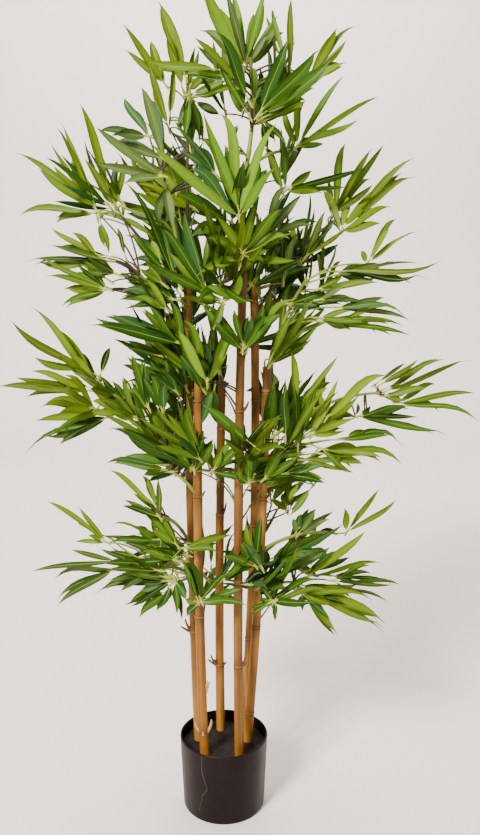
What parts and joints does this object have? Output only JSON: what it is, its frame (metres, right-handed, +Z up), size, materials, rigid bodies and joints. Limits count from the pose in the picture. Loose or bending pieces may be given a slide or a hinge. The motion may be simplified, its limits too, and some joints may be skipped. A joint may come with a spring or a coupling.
{
  "type": "artificial potted bamboo",
  "caption": "Tall artificial bamboo: tan canes with node rings in a small black plastic pot, thin plastic stems and a loose, airy crown of lance-shaped green leaves.",
  "frame": {"origin": "centre of the pot's flat underside", "axes": "+Z up along the canes, -Y the front, +X the plant's right as seen from the front"},
  "size_m": [0.7192, 0.4537, 1.2433],
  "materials": {
    "pot_plastic": "satin moulded plastic",
    "filling": "matt dark cast filling",
    "cane": "lacquered tan bamboo with node rings",
    "stem": "matt olive plastic over wire",
    "foliage": "printed leaf fabric"
  },
  "bodies": {
    "root": {"bough_back_upper_left": "stem", "bough_back_upper_right": "stem", "bough_inner_left": "stem", "bough_inner_right": "stem", "bough_left_shoulder": "stem", "bough_low_left": "stem", "bough_low_left_upper": "stem", "bough_low_right": "stem", "bough_low_right_upper": "stem", "bough_outer_left": "stem", "bough_outer_right": "stem", "bough_right_inner_upper": "stem", "bough_right_shoulder": "stem", "bough_top_left": "stem", "bough_top_right": "stem", "bough_upper_left_inner": "stem", "bough_upper_left_outer": "stem", "bough_upper_right": "stem", "cane_back_left": "cane", "cane_back_right": "cane", "cane_front_left": "cane", "cane_front_right": "cane", "cane_left": "cane", "cane_right": "cane", "leader": "stem", "leaves_back_low_left": "foliage", "leaves_back_low_right": "foliage", "leaves_back_middle_left": "foliage", "leaves_back_middle_right": "foliage", "leaves_back_top": "foliage", "leaves_back_upper_left": "foliage", "leaves_back_upper_right": "foliage", "leaves_centre_low": "foliage", "leaves_centre_middle": "foliage", "leaves_centre_upper": "foliage", "leaves_crown_tip": "foliage", "leaves_inner_left": "foliage", "leaves_inner_right": "foliage", "leaves_left_middle": "foliage", "leaves_left_shoulder": "foliage", "leaves_low_front": "foliage", "leaves_low_left": "foliage", "leaves_low_left_upper": "foliage", "leaves_low_right": "foliage", "leaves_low_right_inner": "foliage", "leaves_low_right_upper": "foliage", "leaves_outer_left": "foliage", "leaves_outer_right": "foliage", "leaves_right_inner_upper": "foliage", "leaves_right_shoulder": "foliage", "leaves_top_front": "foliage", "leaves_top_left": "foliage", "leaves_top_right": "foliage", "leaves_top_right_high": "foliage", "leaves_upper_left_inner": "foliage", "leaves_upper_left_outer": "foliage", "leaves_upper_right": "foliage", "pot": "pot_plastic", "pot_filling": "filling"}
  },
  "joints": []
}
